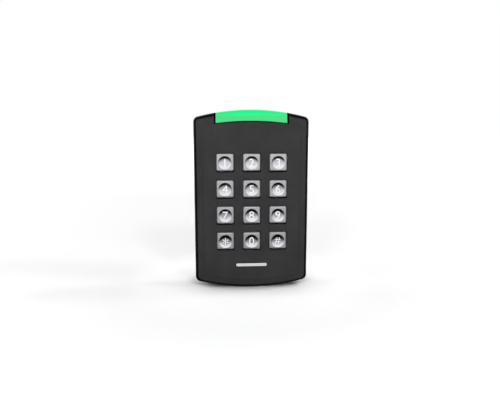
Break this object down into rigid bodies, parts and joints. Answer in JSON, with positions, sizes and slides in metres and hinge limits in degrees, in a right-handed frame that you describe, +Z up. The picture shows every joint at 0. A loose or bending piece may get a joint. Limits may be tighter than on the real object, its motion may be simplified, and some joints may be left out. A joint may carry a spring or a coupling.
{
  "type": "rfid card reader with keypad",
  "caption": "Wall-mounted card reader: dark shield-shaped case, metal number keys that press in, green light bar on the top edge, wall plate and sprung tamper pin behind.",
  "frame": {"origin": "centre of the wall plate's back face, where the reader meets the wall", "axes": "+Y out of the back into the wall, the keys face -Y, +Z up along the body, +X to the right seen from the front"},
  "size_m": [0.0826, 0.0257, 0.1306],
  "materials": {
    "black_plastic": "fine moulded texture, satin",
    "green_lens": "translucent, lit from behind",
    "clear_plastic": "clear moulded",
    "key_metal": "satin metal with polished dish",
    "badge_white": "blank light inlay",
    "silicone": "matte silicone",
    "board_green": "solder mask over glass laminate",
    "copper": "enamelled copper wire",
    "chip_black": "moulded package",
    "terminal_green": "moulded",
    "steel": "zinc plated",
    "white_plastic": "moulded"
  },
  "bodies": {
    "reader": {"antenna_coil": "copper", "badge_plate": "badge_white", "board_screw_1": "steel", "board_screw_2": "steel", "board_screw_3": "steel", "board_screw_4": "steel", "buzzer": "chip_black", "cable_grommet": "silicone", "cover_screw_1": "steel", "cover_screw_2": "steel", "cover_screw_3": "steel", "cover_screw_4": "steel", "front_housing": "black_plastic", "keypad_mat": "silicone", "led_1": "white_plastic", "led_2": "white_plastic", "led_3": "white_plastic", "led_4": "white_plastic", "light_bar_lens": "green_lens", "light_guide": "clear_plastic", "main_board": "board_green", "processor_chip": "chip_black", "rear_cover": "black_plastic", "rear_gasket": "silicone", "rf_chip": "chip_black", "security_screw": "steel", "tamper_spring": "steel", "tamper_switch": "chip_black", "terminal_block": "terminal_green", "wall_plate": "steel"},
    "key_1": {"key_cap_1": "key_metal", "key_carrier_1": "clear_plastic"},
    "key_2": {"key_cap_2": "key_metal", "key_carrier_2": "clear_plastic"},
    "key_3": {"key_cap_3": "key_metal", "key_carrier_3": "clear_plastic"},
    "key_4": {"key_cap_4": "key_metal", "key_carrier_4": "clear_plastic"},
    "key_5": {"key_cap_5": "key_metal", "key_carrier_5": "clear_plastic"},
    "key_6": {"key_cap_6": "key_metal", "key_carrier_6": "clear_plastic"},
    "key_7": {"key_cap_7": "key_metal", "key_carrier_7": "clear_plastic"},
    "key_8": {"key_cap_8": "key_metal", "key_carrier_8": "clear_plastic"},
    "key_9": {"key_cap_9": "key_metal", "key_carrier_9": "clear_plastic"},
    "key_star": {"key_cap_star": "key_metal", "key_carrier_star": "clear_plastic"},
    "key_0": {"key_cap_0": "key_metal", "key_carrier_0": "clear_plastic"},
    "key_hash": {"key_cap_hash": "key_metal", "key_carrier_hash": "clear_plastic"},
    "tamper_pin": {"tamper_plunger": "white_plastic"}
  },
  "joints": [
    {"name": "key_1_press", "type": "slide", "parent": "reader", "child": "key_1", "axis": [0, 1, 0], "range_m": [0, 0.0012], "stiffness_N_per_m": 600, "deforming": ["keypad_mat"]},
    {"name": "key_2_press", "type": "slide", "parent": "reader", "child": "key_2", "axis": [0, 1, 0], "range_m": [0, 0.0012], "stiffness_N_per_m": 600, "deforming": ["keypad_mat"]},
    {"name": "key_3_press", "type": "slide", "parent": "reader", "child": "key_3", "axis": [0, 1, 0], "range_m": [0, 0.0012], "stiffness_N_per_m": 600, "deforming": ["keypad_mat"]},
    {"name": "key_4_press", "type": "slide", "parent": "reader", "child": "key_4", "axis": [0, 1, 0], "range_m": [0, 0.0012], "stiffness_N_per_m": 600, "deforming": ["keypad_mat"]},
    {"name": "key_5_press", "type": "slide", "parent": "reader", "child": "key_5", "axis": [0, 1, 0], "range_m": [0, 0.0012], "stiffness_N_per_m": 600, "deforming": ["keypad_mat"]},
    {"name": "key_6_press", "type": "slide", "parent": "reader", "child": "key_6", "axis": [0, 1, 0], "range_m": [0, 0.0012], "stiffness_N_per_m": 600, "deforming": ["keypad_mat"]},
    {"name": "key_7_press", "type": "slide", "parent": "reader", "child": "key_7", "axis": [0, 1, 0], "range_m": [0, 0.0012], "stiffness_N_per_m": 600, "deforming": ["keypad_mat"]},
    {"name": "key_8_press", "type": "slide", "parent": "reader", "child": "key_8", "axis": [0, 1, 0], "range_m": [0, 0.0012], "stiffness_N_per_m": 600, "deforming": ["keypad_mat"]},
    {"name": "key_9_press", "type": "slide", "parent": "reader", "child": "key_9", "axis": [0, 1, 0], "range_m": [0, 0.0012], "stiffness_N_per_m": 600, "deforming": ["keypad_mat"]},
    {"name": "key_star_press", "type": "slide", "parent": "reader", "child": "key_star", "axis": [0, 1, 0], "range_m": [0, 0.0012], "stiffness_N_per_m": 600, "deforming": ["keypad_mat"]},
    {"name": "key_0_press", "type": "slide", "parent": "reader", "child": "key_0", "axis": [0, 1, 0], "range_m": [0, 0.0012], "stiffness_N_per_m": 600, "deforming": ["keypad_mat"]},
    {"name": "key_hash_press", "type": "slide", "parent": "reader", "child": "key_hash", "axis": [0, 1, 0], "range_m": [0, 0.0012], "stiffness_N_per_m": 600, "deforming": ["keypad_mat"]},
    {"name": "tamper_press", "type": "slide", "parent": "reader", "child": "tamper_pin", "axis": [0, -1, 0], "range_m": [0, 0.002], "stiffness_N_per_m": 300, "deforming": ["tamper_spring"]}
  ]
}
